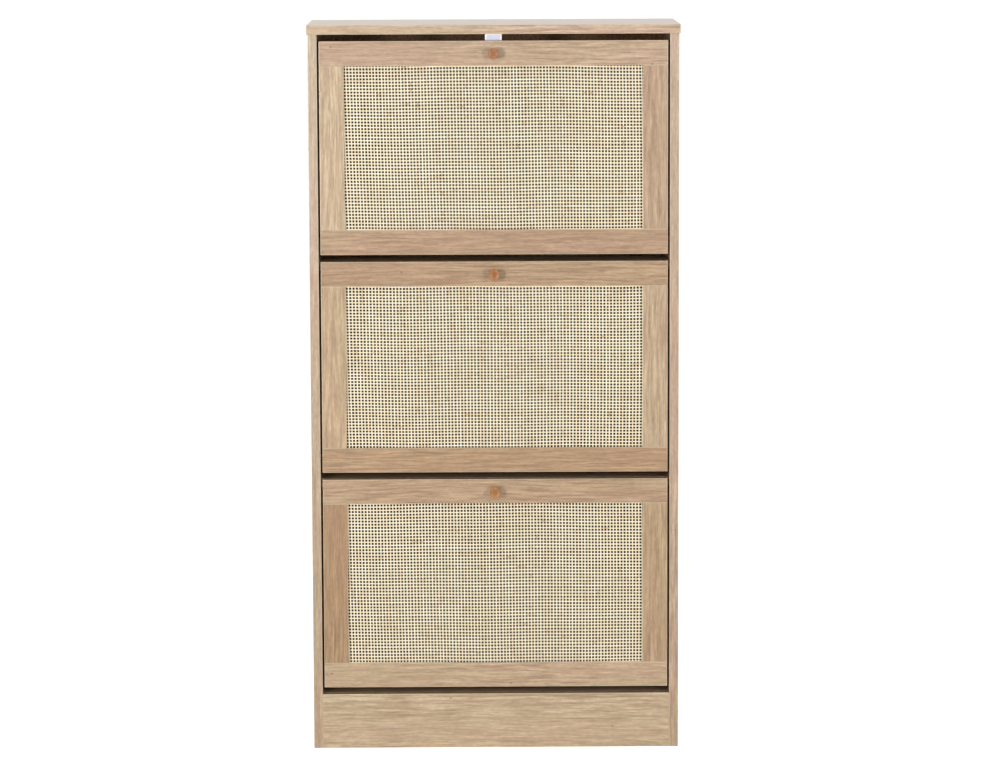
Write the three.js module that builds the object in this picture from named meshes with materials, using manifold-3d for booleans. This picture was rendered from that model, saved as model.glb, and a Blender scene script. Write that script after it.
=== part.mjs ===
// A tall, shallow shoe cabinet with three tilt-out drawers, in millimetres.
//
// +Z is up and the drawer fronts face -Y. The origin is the middle of the bounding box, on the floor.
// The carcass is 15 mm board. Each drawer is a framed cane front on two moulded side brackets. The brackets
// turn on pins near the front's bottom edge, and carry three thin boards that part the bin into two rows.

import * as THREE from "three";
import { mergeVertices } from "three/addons/utils/BufferGeometryUtils.js";
import Module from "manifold-3d";

const wasm = await Module();
wasm.setup();

// Carcass
const WIDTH = 600; // top panel, side to side
const DEPTH = 240; // top panel, front to back
const HEIGHT = 1180;
const BOARD = 15; // carcass boards and drawer fronts
const OVERHANG = 2; // top panel past the sides, and past their front edges
const PLINTH_HEIGHT = 90;
const PLINTH_RECESS = 0.5; // behind the sides' front edges
const BACK_THICKNESS = 3;
const GROOVE_WIDTH = 3.5;
const GROOVE_DEPTH = 6;
const GROOVE_START = 224; // from the sides' front edges
const BACK_LOW_EDGE = 50; // the back panel stops this far above the floor
const RAIL_DEPTH = 60; // front-to-back size of the two rails between the drawers
const RAIL_SETBACK = 16.5; // their front edges lie just behind the drawer fronts

// Drawer fronts
const LEVELS = ["lower", "middle", "upper"];
const FRONT_HEIGHT = 343.5;
const FRONT_GAP = 11.25; // under each front
const SIDE_GAP = 3; // beside each front
const FRAME_WIDTH = 40; // rails and stiles
const REBATE_WIDTH = 8; // around the opening, in the back of the frame
const REBATE_FLOOR = 6; // front face to the rebate's floor, where the cane lies
const CANE_THICKNESS = 1.5;
const REBATE_SLACK = 0.5; // around the cane and the frame that holds it

// Knob and its screw
const KNOB_DROP = 20; // knob axis below the front's top edge
const KNOB_REACH = 20; // out from the front
const KNOB_RADIUS = 9;
const KNOB_NECK = 5.5;
const SCREW_RADIUS = 2;
const SCREW_HEAD = 4;
const SCREW_CLEARANCE = 0.3;
const SCREW_REACH = 11; // into the knob

// Pivot, measured from the front's outer face and bottom edge
const PIVOT_IN = 25;
const PIVOT_UP = 35;
const PIN_RADIUS = 4;
const STOP_RADIUS = 3;
const STOP_REACH = 55; // pivot to stop pin
const STOP_ANGLE = 65; // of the stop pin above the horizontal, in degrees
const OPEN_ANGLE = 50; // how far a drawer tilts
const PIVOT_PLATE = 2.5; // thickness
const PIN_CLEARANCE = 0.3;

// Bracket and bin boards, in the same place as the pivot
const BRACKET_OUTER = 279; // outer face, from the cabinet's middle
const BRACKET_WALL = 3;
const RIB_HEIGHT = 8;
const RIB_THICKNESS = 2;
const RIB_SLACK = 0.3;
const BIN_BOARD = 6;
const TOE_SLOPE = 10; // degrees
const TOE_START = [19.5, 46.2]; // front end of the toe board's underside
const TOE_LENGTH = 183;
const ROW_DIVIDER = { y: 105, low: 72, high: 205 };
const REAR_BOARD = { y: 203, low: 60, high: 228 };

// Magnetic catch and its strike plate
const CATCH_WIDTH = 27;
const CATCH_HEIGHT = 18;
const CATCH_DEPTH = 20;
const CATCH_FOOT = 14; // screw foot behind the housing
const CATCH_FOOT_THICKNESS = 3;
const CATCH_SETBACK = 16.25;
const STRIKE_WIDTH = 30;
const STRIKE_HEIGHT = 14;
const STRIKE_THICKNESS = 1;

const ROUND = 32; // sides of a round piece
const INNER = WIDTH / 2 - OVERHANG - BOARD; // half the clear width
const OUTER = INNER + BOARD;
const REAR = DEPTH - OVERHANG; // rear edges, from the sides' front edges
const UNDER_TOP = HEIGHT - BOARD;
const FRONT_HALF = INNER - SIDE_GAP;
const OPENING_HALF = FRONT_HALF - FRAME_WIDTH;
const OPENING_HIGH = FRONT_HEIGHT - FRAME_WIDTH;
const PITCH = FRONT_HEIGHT + FRONT_GAP;
const FIRST_FRONT = PLINTH_HEIGHT + FRONT_GAP;
const BRACKET_INNER = BRACKET_OUTER - BRACKET_WALL;
const RIB_TIP = BRACKET_INNER - RIB_HEIGHT;
const radians = THREE.MathUtils.degToRad;

// Finishes
const finish = (colour, roughness, metalness = 0) =>
  new THREE.MeshStandardMaterial({ color: colour, roughness, metalness });
const oakFoil = finish(0xc4a282, 0.55);
const hardboard = finish(0x9a7350, 0.8);
const cane = finish(0xe3d5b0, 0.6);
const knobWood = finish(0xc48a52, 0.45);
const blackPlastic = finish(0x232323, 0.5);
const whitePlastic = finish(0xe6e6ea, 0.4);
const zincSteel = finish(0xb8bac0, 0.3, 1);

// Solids: a three.js geometry becomes a manifold for cutting and joining, and a geometry again for its mesh.
function solid(geometry) {
  const bare = geometry.clone();
  bare.deleteAttribute("normal");
  bare.deleteAttribute("uv");
  const merged = mergeVertices(bare, 1e-4);
  return new wasm.Manifold(
    new wasm.Mesh({
      numProp: 3,
      vertProperties: merged.attributes.position.array,
      triVerts: new Uint32Array(merged.index.array),
    }),
  );
}

function geometryOf(manifold) {
  const { vertProperties, triVerts, numProp } = manifold.getMesh();
  const count = vertProperties.length / numProp;
  const positions = new Float32Array(count * 3);
  for (let i = 0; i < count; i++) {
    positions.set(vertProperties.subarray(i * numProp, i * numProp + 3), i * 3);
  }
  const geometry = new THREE.BufferGeometry();
  geometry.setAttribute("position", new THREE.BufferAttribute(positions, 3));
  geometry.setIndex(new THREE.BufferAttribute(triVerts, 1));
  geometry.computeVertexNormals();
  return geometry;
}

const boxGeometry = (low, high) =>
  new THREE.BoxGeometry(...high.map((h, i) => h - low[i])).translate(
    ...high.map((h, i) => (h + low[i]) / 2),
  );
const box = (low, high) => solid(boxGeometry(low, high));

// A shape drawn with Y to the right and Z up, carried along X from one side to the other.
function slab(shape, from, to, curveSegments = 12) {
  const drawn = new THREE.ExtrudeGeometry(shape, {
    depth: to - from,
    bevelEnabled: false,
    curveSegments,
  });
  const turned = new THREE.Matrix4().makeBasis(
    new THREE.Vector3(0, 1, 0),
    new THREE.Vector3(0, 0, 1),
    new THREE.Vector3(1, 0, 0),
  );
  return solid(drawn.applyMatrix4(turned).translate(from, 0, 0));
}

// A round bar along X.
const bar = (radius, from, to, y, z) =>
  solid(
    new THREE.CylinderGeometry(radius, radius, to - from, ROUND)
      .rotateZ(Math.PI / 2)
      .translate((from + to) / 2, y, z),
  );

// A body turned about the Y axis from [radius, y] pairs, set at a height.
const turned = (profile, z) =>
  new THREE.LatheGeometry(
    profile.map(([r, y]) => new THREE.Vector2(r, y)),
    ROUND,
  ).translate(0, 0, z);

function mesh(name, geometry, material) {
  const made = new THREE.Mesh(geometry, material);
  made.name = name;
  return made;
}

const cut = (name, manifold, material) =>
  mesh(name, geometryOf(manifold), material);
const block = (name, low, high, material) =>
  mesh(name, boxGeometry(low, high), material);

// Carcass boards -----------------------------------------------------------------------------------------

// The top panel covers the sides and the back panel, whose upper edge stands in its groove.
function topPanel() {
  const board = box(
    [-WIDTH / 2, -OVERHANG, UNDER_TOP],
    [WIDTH / 2, REAR, HEIGHT],
  );
  const groove = box(
    [-INNER - GROOVE_DEPTH, GROOVE_START, UNDER_TOP - 1],
    [INNER + GROOVE_DEPTH, GROOVE_START + GROOVE_WIDTH, UNDER_TOP + GROOVE_DEPTH],
  );
  return cut("top_panel", board.subtract(groove), oakFoil);
}

// A side panel stands on the floor, with the back panel's groove along its inner face.
function sidePanel(name, hand) {
  const board = box([INNER, 0, 0], [OUTER, REAR, UNDER_TOP]);
  const groove = box(
    [INNER - 1, GROOVE_START, -1],
    [INNER + GROOVE_DEPTH, GROOVE_START + GROOVE_WIDTH, UNDER_TOP + 1],
  );
  const made = cut(name, board.subtract(groove), oakFoil);
  made.scale.x = hand;
  return made;
}

function carcassBoards() {
  const plinthBack = PLINTH_RECESS + BOARD;
  const backFront = GROOVE_START + (GROOVE_WIDTH - BACK_THICKNESS) / 2;
  const backHalf = INNER + GROOVE_DEPTH - 1;
  return [
    topPanel(),
    sidePanel("left_side", -1),
    sidePanel("right_side", 1),
    block(
      "bottom_panel",
      [-INNER, plinthBack, PLINTH_HEIGHT - BOARD],
      [INNER, GROOVE_START, PLINTH_HEIGHT],
      oakFoil,
    ),
    block(
      "front_plinth",
      [-INNER, PLINTH_RECESS, 0],
      [INNER, plinthBack, PLINTH_HEIGHT],
      oakFoil,
    ),
    block(
      "rear_plinth",
      [-INNER, GROOVE_START - BOARD, 0],
      [INNER, GROOVE_START, PLINTH_HEIGHT - BOARD],
      oakFoil,
    ),
    block(
      "back_panel",
      [-backHalf, backFront, BACK_LOW_EDGE],
      [backHalf, backFront + BACK_THICKNESS, UNDER_TOP + GROOVE_DEPTH - 1],
      hardboard,
    ),
  ];
}

// A rail ties the sides together behind the top edge of the front below it.
function rail(name, top) {
  return block(
    name,
    [-INNER, RAIL_SETBACK, top - BOARD],
    [INNER, RAIL_SETBACK + RAIL_DEPTH, top],
    oakFoil,
  );
}

// Fittings on the carcass --------------------------------------------------------------------------------

// A magnetic catch: a housing that faces the front, with a thin screw foot behind it, under a board.
function magneticCatch(name, under) {
  const half = CATCH_WIDTH / 2;
  const back = CATCH_SETBACK + CATCH_DEPTH;
  const housing = box(
    [-half, CATCH_SETBACK, under - CATCH_HEIGHT],
    [half, back, under],
  );
  const foot = box(
    [-half, back - 1, under - CATCH_FOOT_THICKNESS],
    [half, back + CATCH_FOOT, under],
  );
  return cut(name, housing.add(foot), whitePlastic);
}

const stopPin = {
  y: PIVOT_IN + STOP_REACH * Math.cos(radians(STOP_ANGLE)),
  z: PIVOT_UP + STOP_REACH * Math.sin(radians(STOP_ANGLE)),
};

// A pivot plate on a side panel's inner face: one pin that the bracket turns on, one that stops it.
function pivotPlate(name, hand) {
  const plateEnd = 9; // radius of the plate's round ends
  const tilt = radians(STOP_ANGLE);
  const shape = new THREE.Shape();
  shape.absarc(stopPin.y, stopPin.z, plateEnd, tilt - Math.PI / 2, tilt + Math.PI / 2);
  shape.absarc(PIVOT_IN, PIVOT_UP, plateEnd, tilt + Math.PI / 2, tilt + 1.5 * Math.PI);
  const face = INNER - PIVOT_PLATE;
  const pin = bar(PIN_RADIUS, BRACKET_INNER - 5.5, face + 1, PIVOT_IN, PIVOT_UP);
  const stop = bar(STOP_RADIUS, BRACKET_INNER + 0.25, face + 1, stopPin.y, stopPin.z);
  const made = cut(name, slab(shape, face, INNER, 8).add(pin).add(stop), blackPlastic);
  made.scale.x = hand;
  return made;
}

// Drawer front -------------------------------------------------------------------------------------------

// The step in the back of the frame that takes the cane and the frame that holds it.
const rebate = () =>
  box(
    [-OPENING_HALF - REBATE_WIDTH, REBATE_FLOOR, FRAME_WIDTH - REBATE_WIDTH],
    [OPENING_HALF + REBATE_WIDTH, BOARD + 1, OPENING_HIGH + REBATE_WIDTH],
  );

// Radius of the knob screw's shank and countersunk head, by distance from the front's outer face.
const screwProfile = (slack) => [
  [0, -SCREW_REACH - slack],
  [SCREW_RADIUS + slack, -SCREW_REACH - slack],
  [SCREW_RADIUS + slack, BOARD - 2.5 - slack],
  [SCREW_HEAD + slack, BOARD - 0.25 + slack],
  [0, BOARD - 0.25 + slack],
];

function frontFrame(level) {
  const knobHeight = FRONT_HEIGHT - KNOB_DROP;
  const screwHole = solid(turned(screwProfile(SCREW_CLEARANCE), knobHeight));
  const railAt = (low) =>
    box([-FRONT_HALF, 0, low], [FRONT_HALF, BOARD, low + FRAME_WIDTH]).subtract(rebate());
  const stile = () =>
    box([OPENING_HALF, 0, FRAME_WIDTH], [FRONT_HALF, BOARD, OPENING_HIGH]).subtract(rebate());
  const left = cut(`${level}_left_stile`, stile(), oakFoil);
  left.scale.x = -1;
  return [
    cut(`${level}_top_rail`, railAt(OPENING_HIGH).subtract(screwHole), oakFoil),
    cut(`${level}_bottom_rail`, railAt(0), oakFoil),
    left,
    cut(`${level}_right_stile`, stile(), oakFoil),
  ];
}

// The cane web lies in the rebate, and a thin frame behind it holds its edges down.
function caneWeb(level) {
  const margin = REBATE_WIDTH - REBATE_SLACK;
  const half = OPENING_HALF + margin;
  const low = FRAME_WIDTH - margin;
  const high = OPENING_HIGH + margin;
  const back = REBATE_FLOOR + CANE_THICKNESS;
  const ring = box([-half, back, low], [half, BOARD, high]).subtract(
    box(
      [-OPENING_HALF, back - 1, FRAME_WIDTH],
      [OPENING_HALF, BOARD + 1, OPENING_HIGH],
    ),
  );
  return [
    block(`${level}_cane`, [-half, REBATE_FLOOR, low], [half, back, high], cane),
    cut(`${level}_cane_frame`, ring, oakFoil),
  ];
}

// A turned knob with a shallow dish in its face, bored for the screw that comes through the rail.
function knob(level) {
  const height = FRONT_HEIGHT - KNOB_DROP;
  const profile = [
    [0, -KNOB_REACH + 1.2],
    [KNOB_RADIUS * 0.5, -KNOB_REACH + 0.9],
    [KNOB_RADIUS * 0.8, -KNOB_REACH + 0.1],
    [KNOB_RADIUS * 0.88, -KNOB_REACH],
    [KNOB_RADIUS * 0.97, -KNOB_REACH + 0.8],
    [KNOB_RADIUS, -KNOB_REACH + 2.5],
    [KNOB_RADIUS * 0.97, -KNOB_REACH + 7],
    [KNOB_NECK + 1.2, -KNOB_REACH + 12],
    [KNOB_NECK, -4],
    [KNOB_NECK + 0.7, 0],
    [0, 0],
  ];
  const bore = solid(turned(screwProfile(SCREW_CLEARANCE), height));
  return cut(`${level}_knob`, solid(turned(profile, height)).subtract(bore), knobWood);
}

const knobScrew = (level) =>
  mesh(
    `${level}_knob_screw`,
    turned(screwProfile(0), FRONT_HEIGHT - KNOB_DROP),
    zincSteel,
  );

// A steel plate on the back of the top rail, in front of the catch.
function strikePlate(level, top) {
  return block(
    `${level}_strike_plate`,
    [-STRIKE_WIDTH / 2, BOARD, top - STRIKE_HEIGHT],
    [STRIKE_WIDTH / 2, BOARD + STRIKE_THICKNESS, top],
    zincSteel,
  );
}

// Drawer bin ---------------------------------------------------------------------------------------------

// A point moved along a slope in the bin's side view.
const slide = ([y, z], distance, degrees) => [
  y + distance * Math.cos(radians(degrees)),
  z + distance * Math.sin(radians(degrees)),
];

// A flat strip in the bin's side view that starts at a point, runs up a slope and has a thickness above it.
function strip([y, z], length, thickness, degrees, offset = 0) {
  const along = new THREE.Vector2(1, 0).rotateAround(new THREE.Vector2(), radians(degrees));
  const up = new THREE.Vector2(-along.y, along.x);
  const start = new THREE.Vector2(y, z).addScaledVector(up, offset);
  const end = start.clone().addScaledVector(along, length);
  return new THREE.Shape([
    start,
    end,
    end.clone().addScaledVector(up, thickness),
    start.clone().addScaledVector(up, thickness),
  ]);
}

// The bracket's outline: along the front, over the two rows, down the back and under to the pivot.
function bracketOutline() {
  const heel = 13; // material below the pivot
  const shape = new THREE.Shape();
  shape.moveTo(BOARD, 246);
  shape.absarc(
    PIVOT_IN,
    PIVOT_UP,
    heel,
    Math.PI + Math.acos((PIVOT_IN - BOARD) / heel),
    2 * Math.PI - radians(75),
    false,
  );
  shape.lineTo(203, 62);
  shape.quadraticCurveTo(213, 64, 213, 74);
  shape.lineTo(213, 232);
  shape.lineTo(199, 232);
  shape.quadraticCurveTo(160, 208, 115, 208);
  shape.lineTo(101, 208);
  shape.quadraticCurveTo(50, 208, 31, 246);
  return shape;
}

// The slot that the stop pin travels along as the bracket turns, concentric with the pivot.
function stopSlot() {
  const half = STOP_RADIUS + 0.5;
  const from = radians(STOP_ANGLE - OPEN_ANGLE);
  const to = radians(STOP_ANGLE);
  const endAt = (angle) => [
    PIVOT_IN + STOP_REACH * Math.cos(angle),
    PIVOT_UP + STOP_REACH * Math.sin(angle),
  ];
  const shape = new THREE.Shape();
  shape.absarc(PIVOT_IN, PIVOT_UP, STOP_REACH + half, from, to);
  shape.absarc(...endAt(to), half, to, to + Math.PI);
  shape.absarc(PIVOT_IN, PIVOT_UP, STOP_REACH - half, to, from, true);
  shape.absarc(...endAt(from), half, from + Math.PI, from + 2 * Math.PI);
  return shape;
}

// A moulded bracket: a wall beside the bin, a flange screwed to the front, and ribs that hold the boards' ends.
function bracket(name, hand) {
  const flangeWidth = 21;
  const rib = (start, length, degrees, offset) =>
    slab(
      strip(start, length, RIB_THICKNESS, degrees, offset),
      RIB_TIP,
      BRACKET_INNER + 1,
    );
  const below = -RIB_SLACK - RIB_THICKNESS;
  const above = BIN_BOARD + RIB_SLACK;
  const toe = slide(TOE_START, -2.5, TOE_SLOPE);
  const upright = ({ y, low, high }, lift) => [
    rib([y, low + lift], high - low - lift, 90, RIB_SLACK),
    rib([y + BIN_BOARD, low], high - low, 90, -RIB_SLACK - RIB_THICKNESS),
  ];
  const ribs = [
    rib(toe, TOE_LENGTH + 4, TOE_SLOPE, below),
    rib(toe, TOE_LENGTH, TOE_SLOPE, above),
    ...upright(ROW_DIVIDER, 0),
    ...upright(REAR_BOARD, 28),
  ];
  const flange = box(
    [BRACKET_OUTER - flangeWidth, BOARD, PIVOT_UP],
    [BRACKET_OUTER, BOARD + 3, 244],
  );
  const boss = bar(9.5, BRACKET_INNER - 6, BRACKET_INNER + 1, PIVOT_IN, PIVOT_UP);
  const pinHole = bar(PIN_RADIUS + PIN_CLEARANCE, RIB_TIP - 1, BRACKET_OUTER + 1, PIVOT_IN, PIVOT_UP);
  const slot = slab(stopSlot(), BRACKET_INNER, BRACKET_OUTER + 1);
  const wall = slab(bracketOutline(), BRACKET_INNER, BRACKET_OUTER);
  const body = ribs.reduce((sum, piece) => sum.add(piece), wall.add(flange).add(boss));
  const made = cut(name, body.subtract(pinHole).subtract(slot), blackPlastic);
  made.scale.x = hand;
  return made;
}

// The bin's boards run from bracket to bracket: a sloping toe board and two uprights.
function binBoards(level) {
  const half = BRACKET_INNER - 0.5;
  const upright = (name, { y, low, high }) =>
    block(name, [-half, y, low], [half, y + BIN_BOARD, high], oakFoil);
  const toe = slab(strip(TOE_START, TOE_LENGTH, BIN_BOARD, TOE_SLOPE), -half, half);
  return [
    cut(`${level}_toe_board`, toe, oakFoil),
    upright(`${level}_row_divider`, ROW_DIVIDER),
    upright(`${level}_rear_board`, REAR_BOARD),
  ];
}

// Assembly -----------------------------------------------------------------------------------------------

function drawer(level, strikeTop) {
  return [
    ...frontFrame(level),
    ...caneWeb(level),
    knob(level),
    knobScrew(level),
    strikePlate(level, strikeTop),
    bracket(`${level}_left_bracket`, -1),
    bracket(`${level}_right_bracket`, 1),
    ...binBoards(level),
  ];
}

const cabinet = new THREE.Group();
const carcass = new THREE.Group();
carcass.add(...carcassBoards());
cabinet.add(carcass);

LEVELS.forEach((level, i) => {
  const bottom = FIRST_FRONT + i * PITCH;
  const top = bottom + FRONT_HEIGHT;
  const isTop = i === LEVELS.length - 1;
  if (!isTop) {
    carcass.add(rail(`${level}_cross_rail`, top));
  }
  carcass.add(magneticCatch(`${level}_catch`, isTop ? UNDER_TOP : top - BOARD));

  const fixed = new THREE.Group();
  fixed.add(pivotPlate(`${level}_left_pivot`, -1), pivotPlate(`${level}_right_pivot`, 1));
  fixed.position.z = bottom;
  carcass.add(fixed);

  const tilting = new THREE.Group();
  const strikeTop = isTop ? FRONT_HEIGHT - 0.5 : FRONT_HEIGHT - BOARD - 0.5;
  tilting.add(...drawer(level, strikeTop));
  tilting.position.z = bottom;
  cabinet.add(tilting);
});

// The bounding box runs from the knobs' faces to the rear edges, and its middle is the origin.
cabinet.position.y = (KNOB_REACH - REAR) / 2;

export default cabinet;
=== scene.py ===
"""A tall, shallow shoe cabinet: a board carcass and three tilt-out drawers with framed cane fronts.

Everything is in metres. +Z is up, the drawer fronts face -Y, and the origin is on the floor. The sections
follow the cabinet as it is put together: carcass, back, fittings, drawer fronts, cane, knobs and bins.
"""

import bpy
import numpy as np
from mathutils import Matrix, Vector


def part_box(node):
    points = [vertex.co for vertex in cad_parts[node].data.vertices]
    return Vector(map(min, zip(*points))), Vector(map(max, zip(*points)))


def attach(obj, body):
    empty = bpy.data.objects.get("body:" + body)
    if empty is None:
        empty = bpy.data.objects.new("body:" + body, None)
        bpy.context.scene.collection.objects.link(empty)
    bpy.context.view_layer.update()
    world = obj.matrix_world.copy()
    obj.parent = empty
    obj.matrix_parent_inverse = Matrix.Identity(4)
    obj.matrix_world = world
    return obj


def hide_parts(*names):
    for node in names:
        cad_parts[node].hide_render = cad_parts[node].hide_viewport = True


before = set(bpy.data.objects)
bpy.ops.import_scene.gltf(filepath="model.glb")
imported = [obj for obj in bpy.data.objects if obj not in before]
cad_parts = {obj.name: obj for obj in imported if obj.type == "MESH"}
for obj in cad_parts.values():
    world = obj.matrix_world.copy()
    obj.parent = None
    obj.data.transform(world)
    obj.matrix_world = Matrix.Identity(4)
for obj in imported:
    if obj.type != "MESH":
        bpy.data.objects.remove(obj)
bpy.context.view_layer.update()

# ---------------------------------------------------------------------------------------------------------
# Carcass boards. Chipboard 15 mm thick, wrapped in a printed oak foil and banded on its edges, so each board
# has a fine rounded arris all round. Dowels and cams hold the boards together. The grain runs along each one.

ARRIS = 0.001  # radius of a board's edges
ARRIS_STEPS = 4  # straight pieces in its quarter circle
END_INSET = 0.00095  # how far an end face's outline is shrunk, which leaves its corners slightly round
CROSS = {"x": (1, 2), "y": (2, 0), "z": (0, 1)}  # the two axes across a board that runs along this one
GROOVE = 0.006  # depth of the groove that holds the back panel
GROOVE_PLAY = 0.00025  # between the groove's walls and the back panel
# The top panel's paler, bluer tone is a painted reflection of the white air on its top, and each side's run
# from the floor to the top is painted light, brighter and bluer towards the top.
CARCASS_TONES_AND_PAINTED_LIGHT = {  # times the print's red, green and blue; a side has one at the floor and one at the top
    "top_panel": (1.1, 1.13, 1.2),
    "left_side": ((0.93, 0.92, 0.91), (1.12, 1.22, 1.39)),
    "right_side": ((0.95, 0.94, 0.94), (1.1, 1.12, 1.34)),
    "front_plinth": (1.08, 1.15, 1.14),
}

draw = np.random.default_rng(41)


def rounded(corners, inset=0.0):
    """A closed outline with round corners, shrunk by an inset d. Each corner P moves inwards along the sum
    of its two edges' normals, P - d (m + n) / (1 + m.n). It then becomes the arc P + q (u + v) -
    q (u sin a + v cos a), with u and v the unit directions back and on, and a from 0 to 90 degrees. q is the
    arris radius, less the inset where the corner sticks out and plus the inset where it goes in."""
    p = np.asarray(corners, float)
    u = np.roll(p, 1, axis=0) - p
    v = np.roll(p, -1, axis=0) - p
    u /= np.linalg.norm(u, axis=1, keepdims=True)
    v /= np.linalg.norm(v, axis=1, keepdims=True)
    m = np.stack([-u[:, 1], u[:, 0]], axis=1)
    n = np.stack([v[:, 1], -v[:, 0]], axis=1)
    p = p - inset * (m + n) / (1 + (m * n).sum(axis=1, keepdims=True))
    sticks_out = np.sign(np.round(u[:, 1] * v[:, 0] - u[:, 0] * v[:, 1], 6))
    q = (ARRIS - sticks_out * inset)[:, None, None]
    a = np.linspace(0, np.pi / 2, ARRIS_STEPS + 1)[None, :, None]
    arc = u[:, None] * np.sin(a) + v[:, None] * np.cos(a)
    return (p[:, None] + q * (u + v)[:, None] - q * arc).reshape(-1, 2)


def tube_faces(stations, points, closed=False):
    """Faces of a surface whose points lie on rings, one ring after the other: a quad between each two
    neighbours on a ring and the same two on the next ring. An open run of rings is capped at both ends."""
    s = np.arange(stations if closed else stations - 1)[:, None]
    p = np.arange(points)[None, :]
    on, up = (p + 1) % points, (s + 1) % stations
    quads = np.stack([s * points + p, s * points + on, up * points + on, up * points + p], axis=-1)
    faces = quads.reshape(-1, 4).tolist()
    if not closed:
        faces.append(list(range(points))[::-1])
        faces.append(list(range((stations - 1) * points, stations * points)))
    return faces


def piece(name, vertices, faces, finish, smooth=False):
    """A new mesh object at the origin, with one material."""
    mesh = bpy.data.meshes.new(name)
    mesh.from_pydata(np.asarray(vertices).reshape(-1, 3).tolist(), [], faces)
    mesh.polygons.foreach_set("use_smooth", np.full(len(faces), smooth))
    mesh.materials.append(finish)
    made = bpy.data.objects.new(name, mesh)
    bpy.context.scene.collection.objects.link(made)
    return made


def mark(made, name, values):
    """Stores a number, or three, at each vertex for the material to read."""
    values = np.asarray(values, np.float32)
    kind = "FLOAT_VECTOR" if values.shape[-1] == 3 and values.ndim > 1 else "FLOAT"
    attribute = made.data.attributes.new(name, kind, "POINT")
    attribute.data.foreach_set("vector" if kind == "FLOAT_VECTOR" else "value", values.ravel())


def board(name, along, stretches, finish, tone=(1.0, 1.0, 1.0)):
    """A board whose outline is carried straight along one axis. Each stretch is (start, end, corners), the
    corners going anticlockwise when seen from the far end. At both ends the outline shrinks on a quarter
    circle, which rounds the end's edges. Each vertex keeps its place in the board (across, through and along,
    moved by a random amount so that no two boards show the same figure), how near it is to the middle of an
    arris, where the finish paints a highlight, and a tone, which may run from one at the start to another at
    the end; on a side panel that run is painted light, brighter towards the top."""
    turn = np.linspace(0, np.pi / 2, ARRIS_STEPS + 1)
    step, inset = ARRIS * (1 - np.cos(turn)), END_INSET * (1 - np.sin(turn))
    start, end = stretches[0], stretches[-1]
    rings = [(start[0] + s, start[2], i, w) for s, i, w in zip(step, inset, np.sin(2 * turn))]
    for before, after in zip(stretches, stretches[1:]):
        rings += [(before[1], before[2], 0.0, 0.0), (after[0], after[2], 0.0, 0.0)]
    rings += [(end[1] - s, end[2], i, w) for s, i, w in zip(step[::-1], inset[::-1], np.sin(2 * turn))]
    outlines = np.stack([rounded(corners, i) for _, corners, i, _ in rings])
    stations, points = outlines.shape[:2]
    grid = np.empty((stations, points, 3))
    run = "xyz".index(along)
    grid[:, :, list(CROSS[along])] = outlines
    grid[:, :, run] = np.array([place for place, *_ in rings])[:, None]
    made = piece(name, grid, tube_faces(stations, points), finish)
    first, second = CROSS[along]
    wide, thin = (first, second) if np.ptp(outlines[..., 0]) > np.ptp(outlines[..., 1]) else (second, first)
    middle = (grid.reshape(-1, 3).min(axis=0) + grid.reshape(-1, 3).max(axis=0)) / 2
    shift = draw.uniform([-0.16, -0.02, -4.0], [0.16, 0.02, 4.0])
    mark(made, "grain", ((grid - middle)[:, :, [wide, thin, run]] + shift).reshape(-1, 3))
    # Near the middle of an arris the finish paints a highlight.
    corner = np.tile(np.sin(2 * turn), points // len(turn))
    mark(made, "arris", np.maximum(corner[None, :], np.array([w for *_, w in rings])[:, None]))
    tones = np.broadcast_to(np.asarray(tone, float), (2, 3))
    share = (grid[:, 0, run] - grid[0, 0, run]) / (grid[-1, 0, run] - grid[0, 0, run])
    ring_tones = tones[0] + (tones[1] - tones[0]) * share[:, None]
    mark(made, "tone", np.repeat(ring_tones, points, axis=0))
    return made


def box_outline(low, high):
    """A rectangle's four corners, anticlockwise."""
    return [(low[0], low[1]), (high[0], low[1]), (high[0], high[1]), (low[0], high[1])]


def board_of(node, along, finish, body, tone=(1.0, 1.0, 1.0), corners=None):
    """The board that stands for a CAD node, with its box as the outline unless corners are given."""
    low, high = (np.array(corner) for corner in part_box(node))
    run = "xyz".index(along)
    outline = corners or box_outline(low[list(CROSS[along])], high[list(CROSS[along])])
    made = board(node + "_board", along, [(low[run], high[run], outline)], finish, tone)
    settle(made, body, "oak_foil", node)


def settle(made, body, slot, *nodes):
    """Lets a finished piece ride on its body, in place of the CAD nodes that it stands for."""
    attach(made, body)
    if nodes:
        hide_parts(*nodes)


def rgb(red, green, blue):
    """A colour given in display values from 0 to 255, as linear light."""
    share = np.array([red, green, blue]) / 255
    linear = np.where(share <= 0.04045, share / 12.92, ((share + 0.055) / 1.055) ** 2.4)
    return (*linear.tolist(), 1.0)


def put(tree, kind, inputs=None, **settings):
    """Adds a shader node. Settings are its own properties. Inputs are constants or other nodes' outputs."""
    node = tree.nodes.new("ShaderNode" + kind)
    for name, value in settings.items():
        setattr(node, name, value)
    for name, value in (inputs or {}).items():
        if isinstance(value, bpy.types.NodeSocket):
            tree.links.new(value, node.inputs[name])
        else:
            node.inputs[name].default_value = value
    return node


def sums(tree, operation, *values):
    """One step of arithmetic."""
    return put(tree, "Math", dict(enumerate(values)), operation=operation).outputs[0]


def spread(tree, value, low, high, to_low=0.0, to_high=1.0, smooth=True):
    """Moves a value from one range to another, and stops at its ends."""
    limits = {"Value": value, "From Min": low, "From Max": high, "To Min": to_low, "To Max": to_high}
    way = "SMOOTHSTEP" if smooth else "LINEAR"
    return put(tree, "MapRange", limits, interpolation_type=way).outputs[0]


def mixed(tree, share, first, second, way="MIX"):
    """Two colours mixed, with that share of the second."""
    inputs = {0: share, 6: first, 7: second}
    return put(tree, "Mix", inputs, data_type="RGBA", blend_type=way).outputs[2]


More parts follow.
